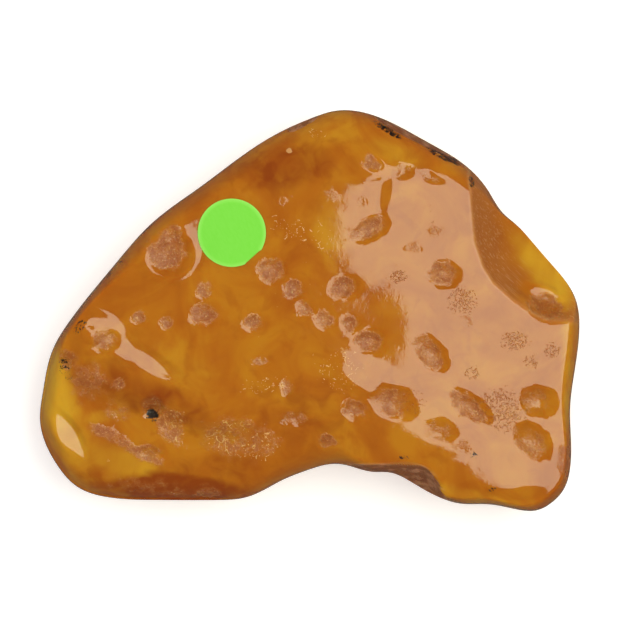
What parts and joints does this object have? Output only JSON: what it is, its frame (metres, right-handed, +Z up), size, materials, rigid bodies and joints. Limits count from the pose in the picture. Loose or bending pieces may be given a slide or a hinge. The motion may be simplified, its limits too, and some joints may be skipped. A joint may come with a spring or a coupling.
{
  "type": "polished amber pebble",
  "caption": "Flat polished amber pebble with worn pits, a long step and groove across one lobe, a chipped edge and a round paper dot on its top.",
  "frame": {"origin": "on the resting plane, under the middle of the pebble's outline", "axes": "+X along the pebble's long direction, +Z up through its thickness"},
  "size_m": [0.0634, 0.0472, 0.0176],
  "materials": {
    "amber": "polished cloudy fossil resin with rough pinkish crust in its pits",
    "green_paper": "matt coloured paper"
  },
  "bodies": {
    "root": {"amber_pebble": "amber", "paper_dot": "green_paper"}
  },
  "joints": []
}
